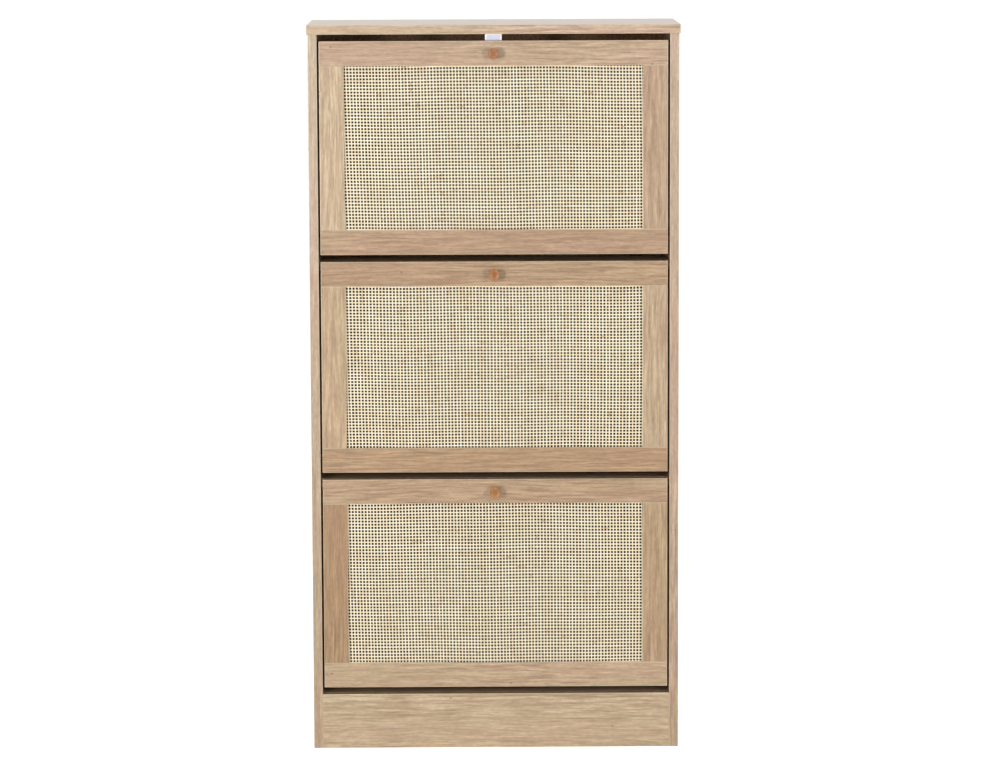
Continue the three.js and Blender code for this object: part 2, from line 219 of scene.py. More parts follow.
def noise(tree, vector, stretch, detail=2.0):
    """Noise with so many waves to the metre along each axis."""
    scaled = put(tree, "VectorMath", {0: vector, 1: stretch}, operation="MULTIPLY").outputs[0]
    return put(tree, "TexNoise", {"Vector": scaled, "Scale": 1.0, "Detail": detail}).outputs["Fac"]


def effect(name, inputs, outputs):
    """A node group: its tree, what it is given and where its results go."""
    tree = bpy.data.node_groups.new(name, "ShaderNodeTree")
    for label, kind, value in inputs:
        socket = tree.interface.new_socket(label, in_out="INPUT", socket_type="NodeSocket" + kind)
        if value is not None:
            socket.default_value = value
    for label, kind in outputs:
        tree.interface.new_socket(label, in_out="OUTPUT", socket_type="NodeSocket" + kind)
    return tree, tree.nodes.new("NodeGroupInput").outputs, tree.nodes.new("NodeGroupOutput").inputs


def finish_named(name, roughness, **sockets):
    """A new material, with the numbers that are the same all over set on the shader's own sockets."""
    made = bpy.data.materials.new(name)
    made.use_nodes = True
    shader = made.node_tree.nodes["Principled BSDF"]
    shader.inputs["Roughness"].default_value = roughness
    for label, value in sockets.items():
        shader.inputs[label.replace("_", " ")].default_value = value
    return made, made.node_tree, shader


def oak_figure():
    """The figure of a sawn board. Vector is the place in the board in metres, with Z along the grain. The
    figure follows lines that wander and ripple sideways as they go. Bands are growth rings, cut as circles
    about a pith that comes near and goes away. Streaks are soft, Lines are thin, Fibre is fine and Pores are
    short dashes. Cloud and Calm are broad, Fleck is the mottling of the rays, and Knots are pin knots."""
    marks = ("Bands", "Streaks", "Lines", "Pores", "Cloud", "Calm", "Fleck", "Fibre", "Knots")
    tree, given, gives = effect(
        "oak_figure",
        [
            ("Vector", "Vector", None),
            ("Ring Gap", "Float", 0.0046),
            ("Wander", "Float", 0.022),
            ("Ripple", "Float", 0.0034),
        ],
        [(name, "Float") for name in marks],
    )
    place = given["Vector"]
    axes = put(tree, "SeparateXYZ", {0: place}).outputs
    drift = sums(tree, "SUBTRACT", noise(tree, place, (14, 14, 2.6), 3), 0.5)
    across = sums(tree, "MULTIPLY_ADD", drift, given["Wander"], axes[0])
    ripple = sums(tree, "SUBTRACT", noise(tree, place, (70, 70, 15), 2), 0.5)
    across = sums(tree, "MULTIPLY_ADD", ripple, given["Ripple"], across)
    bent = put(tree, "CombineXYZ", {0: across, 1: axes[1], 2: axes[2]}).outputs[0]
    fibre = noise(tree, bent, (900, 900, 24), 3)
    pith = sums(tree, "SUBTRACT", noise(tree, place, (0.8, 0.8, 1.9), 1), 0.2)
    through = sums(tree, "MULTIPLY_ADD", pith, 0.14, axes[1])
    flat = put(tree, "CombineXYZ", {0: across, 1: through}).outputs[0]
    radius = put(tree, "VectorMath", {0: flat}, operation="LENGTH").outputs["Value"]
    ring = sums(tree, "DIVIDE", radius, given["Ring Gap"])
    ring = sums(tree, "MULTIPLY_ADD", noise(tree, bent, (300, 300, 12), 2), 0.8, ring)
    saw = sums(tree, "FRACT", ring)
    year = put(tree, "TexWhiteNoise", {"W": sums(tree, "FLOOR", ring)}, noise_dimensions="1D").outputs[0]
    late = sums(tree, "MULTIPLY", sums(tree, "POWER", saw, 2.2), spread(tree, saw, 1.0, 0.8))
    shown = spread(tree, noise(tree, place, (18, 18, 3.4), 2), 0.42, 0.6, 0.15, 1.0)
    late = sums(tree, "MULTIPLY", late, sums(tree, "MULTIPLY", shown, spread(tree, year, 0, 1, 0.2, 1.0)))
    tree.links.new(late, gives["Bands"])
    tree.links.new(noise(tree, bent, (260, 260, 15), 4), gives["Streaks"])
    tree.links.new(spread(tree, noise(tree, bent, (430, 430, 24), 2), 0.52, 0.68), gives["Lines"])
    dashes = spread(tree, noise(tree, bent, (1500, 1500, 42), 1), 0.6, 0.7)
    tree.links.new(sums(tree, "MULTIPLY", dashes, spread(tree, saw, 0.75, 0.1, 0.25, 1)), gives["Pores"])
    tree.links.new(noise(tree, place, (17, 17, 2.2), 3), gives["Cloud"])
    tree.links.new(spread(tree, noise(tree, place, (7, 7, 1.6), 2), 0.42, 0.58), gives["Calm"])
    tree.links.new(noise(tree, bent, (340, 340, 110), 2), gives["Fleck"])
    tree.links.new(fibre, gives["Fibre"])
    spaced = {0: sums(tree, "MULTIPLY", axes[0], 5), 1: sums(tree, "MULTIPLY", axes[2], 4)}
    cell = put(tree, "CombineXYZ", spaced).outputs[0]
    cells = put(tree, "TexVoronoi", {"Vector": cell, "Scale": 1.0}, voronoi_dimensions="2D")
    tree.links.new(spread(tree, cells.outputs["Distance"], 0.0095, 0.003), gives["Knots"])


def oak_foil_finish():
    """Printed light oak: soft streaks in two tans under faint darker growth lines, weaker in the calm areas,
    then cloudy pink and olive tints, fine dark pores and a few pin knots. The arris is paler: a painted
    highlight, where the round edge catches the light."""
    made, tree, shader = finish_named("oak_foil", 0.4, Coat_Weight=0.45, Coat_Roughness=0.28)
    place = put(tree, "Attribute", attribute_name="grain").outputs["Vector"]
    figure = put(tree, "Group", node_tree=bpy.data.node_groups["oak_figure"])
    tree.links.new(place, figure.inputs["Vector"])
    bands, streaks, lines, pores = (figure.outputs[name] for name in ("Bands", "Streaks", "Lines", "Pores"))
    cloud, fleck, fibre, knots = (figure.outputs[name] for name in ("Cloud", "Fleck", "Fibre", "Knots"))
    pale = spread(tree, streaks, 0.35, 0.65, smooth=False)
    colour = mixed(tree, pale, rgb(147, 120, 93), rgb(179, 155, 128))
    colour = mixed(tree, sums(tree, "MULTIPLY", bands, 0.7), colour, rgb(118, 87, 62))
    colour = mixed(tree, sums(tree, "MULTIPLY", lines, 0.4), colour, rgb(112, 84, 60))
    calm = sums(tree, "MULTIPLY", figure.outputs["Calm"], 0.5)
    colour = mixed(tree, calm, colour, rgb(160, 134, 107))
    tint = mixed(tree, spread(tree, cloud, 0.36, 0.64), (1.025, 0.985, 0.98, 1), (0.985, 1.0, 0.94, 1))
    colour = mixed(tree, 1.0, colour, tint, "MULTIPLY")
    fine = spread(tree, fibre, 0.3, 0.7, 0.84, 1.14, smooth=False)
    mottled = spread(tree, fleck, 0.35, 0.65, 0.91, 1.09, smooth=False)
    shade = sums(tree, "MULTIPLY", fine, mottled)
    grey = put(tree, "CombineColor", {0: shade, 1: shade, 2: shade}).outputs[0]
    colour = mixed(tree, 1.0, colour, grey, "MULTIPLY")
    colour = mixed(tree, sums(tree, "MULTIPLY", pores, 0.35), colour, rgb(112, 84, 60))
    colour = mixed(tree, sums(tree, "MULTIPLY", knots, 0.75), colour, rgb(84, 56, 38))
    tone = put(tree, "Attribute", attribute_name="tone").outputs["Color"]
    colour = mixed(tree, 1.0, colour, tone, "MULTIPLY")
    # The paler arris is a painted highlight along the round edges.
    arris = put(tree, "Attribute", attribute_name="arris").outputs["Fac"]
    colour = mixed(tree, sums(tree, "MULTIPLY", arris, 0.7), colour, rgb(206, 188, 158))
    tree.links.new(colour, shader.inputs["Base Color"])
    tree.links.new(spread(tree, fibre, 0.2, 0.8, 0.34, 0.48, smooth=False), shader.inputs["Roughness"])
    height = sums(tree, "SUBTRACT", sums(tree, "MULTIPLY", fibre, 0.4), pores)
    bump = put(tree, "Bump", {"Height": height, "Strength": 0.3, "Distance": 0.0002})
    tree.links.new(bump.outputs[0], shader.inputs["Normal"])
    return made


oak_figure()
oak_foil = oak_foil_finish()

back_low, back_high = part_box("back_panel")
groove_front, groove_back = back_low.y - GROOVE_PLAY, back_high.y + GROOVE_PLAY

low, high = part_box("top_panel")
groove_top = low.z + GROOVE
top_outline = [
    (low.y, low.z),
    (groove_front, low.z),
    (groove_front, groove_top),
    (groove_back, groove_top),
    (groove_back, low.z),
    (high.y, low.z),
    (high.y, high.z),
    (low.y, high.z),
]
board_of("top_panel", "x", oak_foil, "cabinet", CARCASS_TONES_AND_PAINTED_LIGHT["top_panel"], top_outline)

low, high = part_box("right_side")
right_outline = [
    (low.x, low.y),
    (high.x, low.y),
    (high.x, high.y),
    (low.x, high.y),
    (low.x, groove_back),
    (low.x + GROOVE, groove_back),
    (low.x + GROOVE, groove_front),
    (low.x, groove_front),
]
left_outline = [(-x, y) for x, y in right_outline[::-1]]
board_of("right_side", "z", oak_foil, "cabinet", CARCASS_TONES_AND_PAINTED_LIGHT["right_side"], right_outline)
board_of("left_side", "z", oak_foil, "cabinet", CARCASS_TONES_AND_PAINTED_LIGHT["left_side"], left_outline)

board_of("front_plinth", "x", oak_foil, "cabinet", CARCASS_TONES_AND_PAINTED_LIGHT["front_plinth"])
for node in ("bottom_panel", "rear_plinth", "lower_cross_rail", "middle_cross_rail"):
    board_of(node, "x", oak_foil, "cabinet")

# ---------------------------------------------------------------------------------------------------------
# Back panel. Hardboard 3 mm thick, pressed from wood fibre and slid down into the grooves. Its front face is
# smooth and its rear face shows the weave of the press screen.

SCREEN_WIRES = 620.0  # to the metre


def hardboard_finish():
    """Brown fibre with specks. The screen's print is two sets of waves at right angles, sin (2 pi n x) and
    sin (2 pi n z), on the rear face only."""
    made, tree, shader = finish_named("hardboard", 0.75)
    place = put(tree, "TexCoord").outputs["Object"]
    specks = noise(tree, place, (260, 260, 260), 4)
    blotch = noise(tree, place, (7, 7, 7), 3)
    colour = mixed(tree, spread(tree, specks, 0.3, 0.7), rgb(112, 78, 52), rgb(158, 118, 82))
    colour = mixed(tree, spread(tree, blotch, 0.35, 0.7, 0, 0.35), colour, rgb(96, 64, 42))
    tree.links.new(colour, shader.inputs["Base Color"])
    tree.links.new(spread(tree, specks, 0.3, 0.7, 0.66, 0.86), shader.inputs["Roughness"])
    axes = put(tree, "SeparateXYZ", {0: place}).outputs
    wires = [sums(tree, "SINE", sums(tree, "MULTIPLY", axes[i], SCREEN_WIRES * 2 * np.pi)) for i in (0, 2)]
    rear = sums(tree, "GREATER_THAN", axes[1], (back_low.y + back_high.y) / 2)
    printed = sums(tree, "MULTIPLY", sums(tree, "MAXIMUM", *wires), rear)
    height = sums(tree, "MULTIPLY_ADD", specks, 0.6, printed)
    bump = put(tree, "Bump", {"Height": height, "Strength": 0.4, "Distance": 0.0002})
    tree.links.new(bump.outputs[0], shader.inputs["Normal"])
    return made


hardboard = hardboard_finish()
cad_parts["back_panel"].data.materials[0] = hardboard

# ---------------------------------------------------------------------------------------------------------
# Pivot plates and brackets. Black moulded nylon with a fine sparked texture. Each plate is screwed to a side
# panel and its pins carry and stop the drawer's bracket, whose ribs hold the ends of the bin's boards.

LEVELS = ("lower", "middle", "upper")


def moulded_skin():
    """The skin of a moulded part: a fine grain, and broad patches where it shines a little more."""
    tree, given, gives = effect(
        "moulded_skin",
        [("Vector", "Vector", None), ("Grain", "Float", 1800.0)],
        [("Height", "Float"), ("Shine", "Float")],
    )
    scaled = put(tree, "VectorMath", {0: given["Vector"], "Scale": given["Grain"]}, operation="SCALE")
    grained = put(tree, "TexNoise", {"Vector": scaled.outputs[0], "Scale": 1.0})
    tree.links.new(grained.outputs["Fac"], gives["Height"])
    tree.links.new(noise(tree, given["Vector"], (38, 38, 38), 4), gives["Shine"])


def moulded_finish(name, colour, dusty, roughness, grain, gloss=0.5):
    """Moulded plastic: its colour, a dusty bloom in patches, and the skin's grain as bump."""
    made, tree, shader = finish_named(name, roughness, Specular_IOR_Level=gloss)
    skin = put(tree, "Group", node_tree=bpy.data.node_groups["moulded_skin"])
    skin.inputs["Grain"].default_value = grain
    tree.links.new(put(tree, "TexCoord").outputs["Object"], skin.inputs["Vector"])
    shine = skin.outputs["Shine"]
    bloom = spread(tree, shine, 0.35, 0.75, 0, 0.5)
    tree.links.new(mixed(tree, bloom, colour, dusty), shader.inputs["Base Color"])
    sheen = spread(tree, shine, 0.3, 0.7, roughness - 0.07, roughness + 0.1)
    tree.links.new(sheen, shader.inputs["Roughness"])
    bump = put(tree, "Bump", {"Height": skin.outputs["Height"], "Strength": 0.3, "Distance": 0.0001})
    tree.links.new(bump.outputs[0], shader.inputs["Normal"])
    return made


moulded_skin()
black_plastic = moulded_finish("black_plastic", rgb(30, 30, 31), rgb(58, 57, 55), 0.48, 1800.0)
for level in LEVELS:
    for hand in ("left", "right"):
        for part in ("pivot", "bracket"):
            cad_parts[f"{level}_{hand}_{part}"].data.materials[0] = black_plastic

# ---------------------------------------------------------------------------------------------------------
# Magnetic catches. A white moulded housing with a rim round its face, a magnet block set back inside the rim,
# and a thin foot behind that a screw holds to the board above.

RIM = 0.0024  # width of the housing's rim
RECESS_DEPTH = 0.0026
MAGNET_SETBACK = 0.0006
MAGNET_THICKNESS = 0.002
FOOT_LENGTH = 0.014
FOOT_THICKNESS = 0.003

white_plastic = moulded_finish("white_plastic", rgb(253, 253, 254), rgb(246, 246, 248), 0.38, 900.0)
magnet_grey = moulded_finish("magnet_block", rgb(206, 209, 226), rgb(196, 199, 217), 0.42, 700.0)


def catch(level):
    """The housing is an outline in side view carried across its width, with a recess in the middle stretch of
    its face. The plain outline has four more points on the face, to match the recess's."""
    low, high = (np.array(corner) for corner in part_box(f"{level}_catch"))
    rear = high[1] - FOOT_LENGTH
    recessed = [
        (low[1], low[2]),
        (rear, low[2]),
        (rear, high[2] - FOOT_THICKNESS),
        (high[1], high[2] - FOOT_THICKNESS),
        (high[1], high[2]),
        (low[1], high[2]),
        (low[1], high[2] - RIM),
        (low[1] + RECESS_DEPTH, high[2] - RIM),
        (low[1] + RECESS_DEPTH, low[2] + RIM),
        (low[1], low[2] + RIM),
    ]
    spare = RIM * 1.2
    plain = recessed[:6] + [
        (low[1], high[2] - spare),
        (low[1], high[2] - spare - 2 * ARRIS),
        (low[1], low[2] + spare + 2 * ARRIS),
        (low[1], low[2] + spare),
    ]
    sides = (low[0], low[0] + RIM, high[0] - RIM, high[0])
    stretches = [(sides[0], sides[1], plain), (sides[1], sides[2], recessed), (sides[2], sides[3], plain)]
    housing = board(f"{level}_catch_housing", "x", stretches, white_plastic)
    settle(housing, "cabinet", "white_plastic", f"{level}_catch")
    face = low[1] + MAGNET_SETBACK
    block = box_outline((face, low[2] + RIM), (face + MAGNET_THICKNESS, high[2] - RIM))
    magnet = board(f"{level}_catch_magnet", "x", [(sides[1], sides[2], block)], magnet_grey)
    settle(magnet, "cabinet", "white_plastic")


for level in LEVELS:
    catch(level)

# ---------------------------------------------------------------------------------------------------------
# Drawer fronts. Two full-width rails and two stiles of the same foiled board, 15 mm thick and 40 mm wide,
# butted and glued. A rebate round the back of the opening takes the cane. The rails' grain runs across and
# the stiles' grain runs up.

REBATE_PLAY = 0.0005  # between the cane's edge and the rebate's wall
FRONT_TONES = {
    "upper": {
        "top_rail": (0.98, 0.97, 0.99),
        "bottom_rail": (0.85, 0.78, 0.71),
        "left_stile": (1.14, 1.22, 1.21),
        "right_stile": (0.91, 0.86, 0.85),
    },
    "middle": {
        "top_rail": (0.84, 0.75, 0.65),
        "bottom_rail": (0.84, 0.74, 0.59),
        "left_stile": (1.01, 1.03, 0.93),
        "right_stile": (1.03, 1.06, 1.03),
    },
    "lower": {
        "top_rail": (0.89, 0.83, 0.75),
        "bottom_rail": (1.01, 1.02, 0.98),
        "left_stile": (0.77, 0.67, 0.48),
        "right_stile": (0.89, 0.86, 0.73),
    },
}


def front_rail(level, part, upside):
    """Outline in (Y, Z): a rectangle, less the rebate's step along the stretch behind the opening. The step
    is at the lower edge of a top rail, and the bottom rail is the same turned over."""
    low, high = (np.array(corner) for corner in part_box(f"{level}_{part}"))
    web_low, web_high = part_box(f"{level}_cane")
    half = web_high.x + REBATE_PLAY
    floor = web_low.y
    wall = web_low.z - REBATE_PLAY if upside else web_high.z + REBATE_PLAY
    inner, outer = (high[2], low[2]) if upside else (low[2], high[2])
    near = [(low[1], inner), (floor, inner)]
    far = [(high[1], wall), (high[1], outer), (low[1], outer)]
    stepped = near + [(floor, wall)] + far
    plain = near + [(high[1], inner)] + far
    if upside:
        stepped, plain = stepped[::-1], plain[::-1]
    stretches = [(low[0], -half, plain), (-half, half, stepped), (half, high[0], plain)]
    made = board(f"{level}_{part}_board", "x", stretches, oak_foil, FRONT_TONES[level][part])
    settle(made, f"{level}_drawer", "oak_foil", f"{level}_{part}")


def front_stile(level, hand, side):
    """Outline in (X, Y): a rectangle, less the rebate's step at its inner rear corner."""
    low, high = (np.array(corner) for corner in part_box(f"{level}_right_stile"))
    web_low, web_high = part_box(f"{level}_cane")
    wall = web_high.x + REBATE_PLAY
    floor = web_low.y
    corners = [
        (low[0], low[1]),
        (high[0], low[1]),
        (high[0], high[1]),
        (wall, high[1]),
        (wall, floor),
        (low[0], floor),
    ]
    if side < 0:
        corners = [(-x, y) for x, y in corners[::-1]]
    tone = FRONT_TONES[level][f"{hand}_stile"]
    board_of(f"{level}_{hand}_stile", "z", oak_foil, f"{level}_drawer", tone, corners)


for level in LEVELS:
    front_rail(level, "top_rail", False)
    front_rail(level, "bottom_rail", True)
    front_stile(level, "left", -1)
    front_stile(level, "right", 1)

# ---------------------------------------------------------------------------------------------------------
# Cane webs. Flat strands of split rattan about 2 mm wide, woven over and under in a square lattice. The web
# is laid in the rebate behind the opening, and its lines lean and bow a little, as it was pulled.

STRAND_HALF_THICKNESS = 0.00033
WEAVE_HEIGHT = 0.00032  # from the web's middle to a strand's middle at a crossing
WEB_SETBACK = 0.00067  # the web's middle, behind the rebate's floor
STRAND_SHARE = 0.193  # half a strand's width, as a share of the pitch
STRAND_MARGIN = 0.0016  # the outermost strand's middle, from the web's edge
SHOULDER = 0.3  # from a crossing to where the strand starts towards the next, as a share of the pitch
SHOULDER_HEIGHT = 0.84  # there, as a share of the weave height
TREMBLE = 0.00008  # how far a strand lies off its place
WAVES = (0.0004, 0.0005, 0.0003)  # heights of the long waves in the web's lines
STRAND_PROFILE = np.array([(1, 0), (0.62, 1), (-0.62, 1), (-1, 0), (-0.62, -1), (0.62, -1)])
WEBS = {
    "upper": {
        "holes": (93.5, 49.3),  # across the opening and up it
        "first": (-0.16, 0.87),  # the first hole's middle from the left and top edges, in pitches
        "lean": (0.034, 0.008),  # sideways for each metre up, at the left edge and at the right
        "bow": 0.0017,
        "seed": 5,
    },
    "middle": {
        "holes": (89.3, 51.9),
        "first": (0.73, 0.75),
        "lean": (0.020, -0.004),
        "bow": -0.0012,
        "seed": 6,
    },
    "lower": {
        "holes": (92.8, 49.9),
        "first": (0.1, 0.58),
        "lean": (0.024, 0.002),
        "bow": 0.0014,
        "seed": 7,
    },
}


def cane_finish():
    """Split rattan: each strand has its own straw tone, drifting along its length to cream, tan or brown. It
    has fine fibres, a dark ring where the stem had a joint, and a half-gloss skin."""
    made, tree, shader = finish_named("cane", 0.42, Specular_IOR_Level=0.45)
    place = put(tree, "Attribute", attribute_name="reed").outputs["Vector"]
    axes = put(tree, "SeparateXYZ", {0: place}).outputs
    own = put(tree, "TexWhiteNoise", {"W": axes[1]}, noise_dimensions="1D").outputs[0]
    drift = noise(tree, place, (0, 3.1, 14), 3)
    stain = noise(tree, place, (0, 5.3, 30), 2)
    colour = mixed(tree, spread(tree, drift, 0.35, 0.65), rgb(247, 239, 219), rgb(237, 224, 192))
    colour = mixed(tree, spread(tree, own, 0, 1, 0, 0.4), colour, rgb(228, 208, 166))
    colour = mixed(tree, spread(tree, stain, 0.55, 0.68, 0, 0.65), colour, rgb(224, 194, 152))
    colour = mixed(tree, spread(tree, stain, 0.66, 0.78, 0, 0.6), colour, rgb(166, 120, 74))
    phase = sums(tree, "MULTIPLY_ADD", own, 0.9, axes[2])
    joint = sums(tree, "PINGPONG", phase, 0.45)
    colour = mixed(tree, spread(tree, joint, 0.0014, 0.0004, 0, 0.45), colour, rgb(146, 104, 66))
    fibre = noise(tree, place, (2600, 3, 40), 2)
    colour = mixed(tree, spread(tree, fibre, 0.35, 0.7, 0, 0.2), colour, rgb(202, 172, 126))
    tree.links.new(colour, shader.inputs["Base Color"])
    tree.links.new(spread(tree, fibre, 0.3, 0.7, 0.36, 0.52), shader.inputs["Roughness"])
    bump = put(tree, "Bump", {"Height": fibre, "Strength": 0.4, "Distance": 0.0001})
    tree.links.new(bump.outputs[0], shader.inputs["Normal"])
    return made


def strands(level, way, finish):
    """All the strands of a web that run one way. With u and v from -1 to 1 across and up the web, a strand's
    middle line goes through X = x - lean * v * height / 2 + tremble + wave and
    Z = z + bow * (0.6 - u squared) * (0.4 + 0.6 v) + tremble + wave. It lies to either side of the web's
    mid-plane by the weave height, (-1) to the power of the two strands' numbers added, and keeps most of that
    height from one shoulder to the other. A crowned outline is carried along it."""
    web = WEBS[level]
    rough = np.random.default_rng(web["seed"])
    low, high = (np.array(corner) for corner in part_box(f"{level}_cane"))
    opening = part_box(f"{level}_right_stile")
    width, height = 2 * opening[0].x, opening[1].z - opening[0].z
    pitch = np.array([width / web["holes"][0], height / web["holes"][1]])
    middle = (low + high) / 2
    reach = ((high - low) / 2)[[0, 2]] - STRAND_MARGIN
    from_middle = pitch * (np.array(web["first"]) - 0.5) - np.array([width, height]) / 2
    before = np.floor((from_middle + reach) / pitch)
    counts = (np.floor((reach - from_middle) / pitch) + before + 1).astype(int)
    start = from_middle - before * pitch
    tremble = [rough.normal(0, TREMBLE, n) for n in counts]
    thick = [rough.uniform(0.95, 1.05, n) for n in counts]
    wave_at = rough.uniform(0, 6.28, 3)
    own, other = (0, 1) if way == "up" else (1, 0)
    n, m = counts[own], counts[other]
    number = np.arange(n)[:, None] + np.zeros((1, 3 * m))
    stops = (np.arange(m)[:, None] + np.array([-SHOULDER, 0, SHOULDER])).ravel()
    crossing = stops[None, :] + np.zeros((n, 1))
    share = [None, None]
    share[own], share[other] = number, crossing
    u, v = ((start[i] + share[i] * pitch[i]) / reach[i] for i in (0, 1))
    v = -v
    lean = web["lean"][0] + (web["lean"][1] - web["lean"][0]) * (u + 1) / 2
    shift = [np.interp(share[i], np.arange(counts[i]), tremble[i]) for i in (0, 1)]
    x = middle[0] + u * reach[0] - lean * v * height / 2 + shift[0]
    x = x + WAVES[0] * np.sin(2.1 * v + 1.7 * u + wave_at[0])
    bow = web["bow"] * (0.6 - u**2) * (0.4 + 0.6 * v)
    z = middle[2] + v * reach[1] + bow + shift[1]
    z = z + WAVES[1] * np.sin(3.7 * u + 1.3 * v + wave_at[1]) + WAVES[2] * np.sin(9.1 * u + wave_at[2])
    x = np.clip(x, middle[0] - reach[0], middle[0] + reach[0])
    z = np.clip(z, middle[2] - reach[1], middle[2] + reach[1])
    over = 1 - 2 * ((number + np.round(crossing)) % 2)
    over = over if way == "up" else -over
    crest = np.where(np.abs(crossing - np.round(crossing)) < 0.1, 1.0, SHOULDER_HEIGHT)
    y = low[1] + WEB_SETBACK - WEAVE_HEIGHT * over * crest
    line = np.stack([x, y, z], axis=-1)
    ahead = np.gradient(line, axis=1)
    ahead /= np.linalg.norm(ahead, axis=-1, keepdims=True)
    facing = np.array([0.0, -1.0, 0.0])
    side = np.cross(facing, ahead)
    side /= np.linalg.norm(side, axis=-1, keepdims=True)
    out = np.cross(ahead, side)
    half = (pitch[own] * STRAND_SHARE * thick[own])[:, None, None, None]
    ring = line[:, :, None] + side[:, :, None] * half * STRAND_PROFILE[None, None, :, :1]
    ring = ring + out[:, :, None] * STRAND_HALF_THICKNESS * STRAND_PROFILE[None, None, :, 1:]
    points = len(STRAND_PROFILE)
    faces = np.array(tube_faces(3 * m, points)[:-2])
    size = 3 * m * points
    every = (faces[None] + size * np.arange(n)[:, None, None]).reshape(-1, 4).tolist()
    ends = np.concatenate([np.arange(points)[::-1], size - points + np.arange(points)]).reshape(2, points)
    every += (ends[None] + size * np.arange(n)[:, None, None]).reshape(-1, points).tolist()
    made = piece(f"{level}_cane_{way}", ring, every, finish, smooth=True)
    reed = np.empty(ring.shape)  # the place across the strand, the strand's own number and the place along it
    reed[..., 0] = STRAND_PROFILE[None, None, :, 0] * half[..., 0]
    reed[..., 1] = (np.arange(n) * 1.37 + web["seed"] * 11 + 53 * own)[:, None, None]
    reed[..., 2] = (line[..., 2] if way == "up" else line[..., 0])[..., None]
    mark(made, "reed", reed.reshape(-1, 3))
    return made


cane = cane_finish()
for level in LEVELS:
    settle(strands(level, "up", cane), f"{level}_drawer", "cane", f"{level}_cane")
    settle(strands(level, "across", cane), f"{level}_drawer", "cane")

# ---------------------------------------------------------------------------------------------------------
# Black sheets behind the cane, as painted shade. A thin sheet of matt black plastic lies flat against each
# web, under the frame that holds the web, and stands in for the shade inside the cabinet behind the holes.

SHADE_SHEET_THICKNESS = 0.00008
SHADE_SHEET_COCKLE = 0.000025  # how far it stands out of flat
SHADE_SHEET_INSET = 0.0005  # from the web's edges
SHADE_SHEET_PLAY = 0.00004  # between it and the frame behind
SHADE_SHEET_WAVES = (46, 58)  # radians to the metre, across and up

# Near black: the painted shade that shows through the cane's holes.
painted_shade_black = moulded_finish("painted_shade_black", rgb(13, 12, 11), rgb(18, 17, 16), 0.72, 2400.0, gloss=0.12)


def shade_sheet(level):
    """Two layers of points joined at the edges, both moved by the same shallow waves, sin x times cos z."""
    low, high = (np.array(corner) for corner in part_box(f"{level}_cane"))
    x = np.linspace(low[0] + SHADE_SHEET_INSET, high[0] - SHADE_SHEET_INSET, 40)
    z = np.linspace(low[2] + SHADE_SHEET_INSET, high[2] - SHADE_SHEET_INSET, 24)
    ring = np.concatenate([x, x[::-1]])
    layer = np.repeat([SHADE_SHEET_THICKNESS, 0.0], len(x))
    grid = np.empty((len(z), len(ring), 3))
    grid[..., 0] = ring
    grid[..., 2] = z[:, None]
    across, up = SHADE_SHEET_WAVES[0] * grid[..., 0], SHADE_SHEET_WAVES[1] * grid[..., 2]
    cockle = SHADE_SHEET_COCKLE * np.sin(across) * np.cos(up)
    grid[..., 1] = high[1] - SHADE_SHEET_PLAY - SHADE_SHEET_COCKLE - layer + cockle
    made = piece(f"{level}_cane_shade_sheet", grid, tube_faces(len(z), len(ring)), painted_shade_black)
    settle(made, f"{level}_drawer", "black_plastic")


for level in LEVELS:
    shade_sheet(level)

# ---------------------------------------------------------------------------------------------------------
# Frames behind the cane. Four thin strips of foiled board go round each rebate, mitred at the corners and
# pinned over the web's edges, so that the cane stays stretched.


def cane_frame(level):
    """A rectangular outline carried round the rebate. At each mitre the corner moves inwards and outwards
    along both axes at once. Each side has its own two rings, so that the grain runs along it."""
    low, high = (np.array(corner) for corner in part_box(f"{level}_cane_frame"))
    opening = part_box(f"{level}_right_stile")
    strip = high[0] - opening[0].x
    profile = rounded([(0, low[1]), (strip, low[1]), (strip, high[1]), (0, high[1])])
    turns = np.array([(-1, -1), (1, -1), (1, 1), (-1, 1)])
    middle = (low + high) / 2
    reach = ((high - low) / 2)[[0, 2]]
    rings = np.repeat(turns, 2, axis=0)
    grid = np.empty((8, len(profile), 3))
    inwards = profile[None, :, 0]
    grid[..., 0] = middle[0] + rings[:, None, 0] * (reach[0] - inwards)
    grid[..., 1] = profile[None, :, 1]
    grid[..., 2] = middle[2] + rings[:, None, 1] * (reach[1] - inwards)
    grid = np.roll(grid, -1, axis=0)
    made = piece(f"{level}_cane_frame_strips", grid, tube_faces(8, len(profile), closed=True), oak_foil)
    flat_side = np.array([True, True, False, False] * 2)[:, None]
    along = np.where(flat_side, grid[..., 0], grid[..., 2])
    grain = np.stack([inwards + 0 * along, grid[..., 1], along], axis=-1) + draw.uniform(-0.1, 0.1, 3)
    mark(made, "grain", grain.reshape(-1, 3))
    mark(made, "arris", np.zeros(grid.shape[:2]))
    mark(made, "tone", np.full((grid[..., 0].size, 3), 0.95))
    settle(made, f"{level}_drawer", "oak_foil", f"{level}_cane_frame")


for level in LEVELS:
    cane_frame(level)

# ---------------------------------------------------------------------------------------------------------
# Knobs. Turned from one piece of a warmer wood, with a shallow dish in the face and a narrow neck, and
# lacquered. A screw through the top rail holds each one, and its head is let into the rail's back.

KNOB_SIDES = 72
KNOB_RADIUS = 0.009
KNOB_SHAPE = np.array(  # share of the radius, and of the reach from the rail
    [
        (0.0, 0.925),
        (0.3, 0.93),
        (0.58, 0.95),
        (0.78, 0.985),
        (0.88, 1.0),
        (0.96, 0.985),
        (1.0, 0.93),
        (1.0, 0.84),
        (0.95, 0.68),
        (0.84, 0.5),
        (0.7, 0.34),
        (0.62, 0.2),
        (0.62, 0.08),
        (0.68, 0.0),
    ]
)


